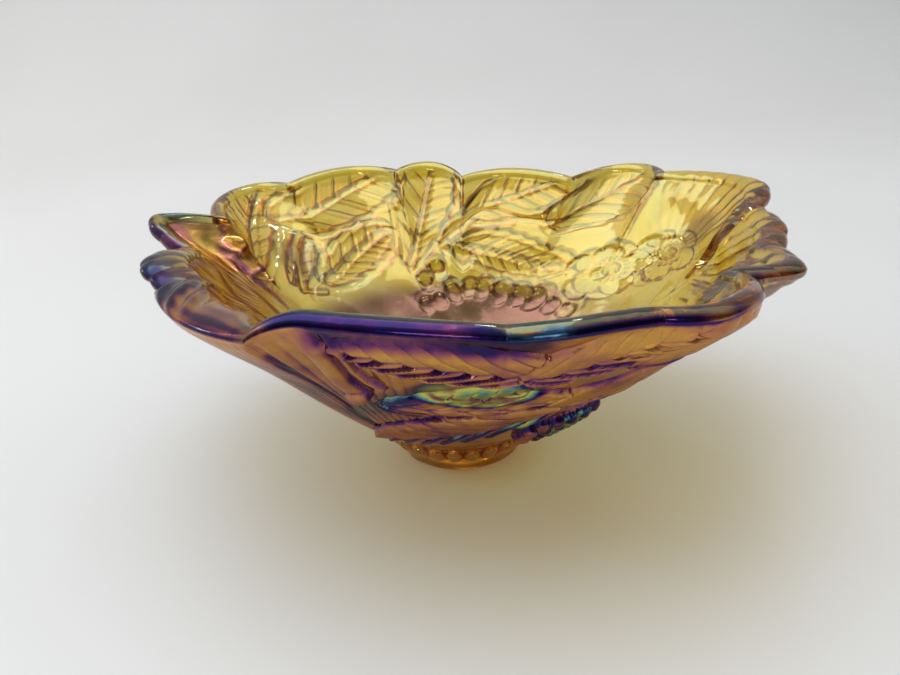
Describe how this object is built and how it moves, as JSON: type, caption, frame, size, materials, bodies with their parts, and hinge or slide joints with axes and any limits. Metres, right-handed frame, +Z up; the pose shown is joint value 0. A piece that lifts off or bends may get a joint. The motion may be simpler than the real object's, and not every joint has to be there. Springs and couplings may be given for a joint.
{
  "type": "carnival glass bowl",
  "caption": "Flared pressed-glass bowl on a small foot, with a rim of moulded leaves, berries and blossoms and a drooping fan of petals at each end.",
  "frame": {"origin": "on the table, under the middle of the bowl's box", "axes": "+X along the two leaf fans, +Z up out of the bowl"},
  "size_m": [0.1799, 0.1564, 0.068],
  "materials": {
    "carnival_glass": "gloss",
    "foot_glass": "gloss"
  },
  "bodies": {
    "root": {"foot_ring": "foot_glass", "foot_knobs": "foot_glass", "bowl_floor": "carnival_glass", "wall_rose_right": "carnival_glass", "wall_berries_back": "carnival_glass", "wall_leaf_back": "carnival_glass", "wall_root_left": "carnival_glass", "wall_branch_front": "carnival_glass", "wall_leaf_front": "carnival_glass", "wall_berries_front": "carnival_glass", "wall_root_right": "carnival_glass", "right_petal_3": "carnival_glass", "back_leaf_5": "carnival_glass", "back_leaf_4": "carnival_glass", "back_leaf_3": "carnival_glass", "back_leaf_2": "carnival_glass", "back_leaf_1": "carnival_glass", "left_petal_1": "carnival_glass", "left_petal_2": "carnival_glass", "left_petal_3": "carnival_glass", "front_leaf_1": "carnival_glass", "front_leaf_2": "carnival_glass", "front_leaf_3": "carnival_glass", "right_petal_1": "carnival_glass", "right_petal_2": "carnival_glass"}
  },
  "joints": []
}
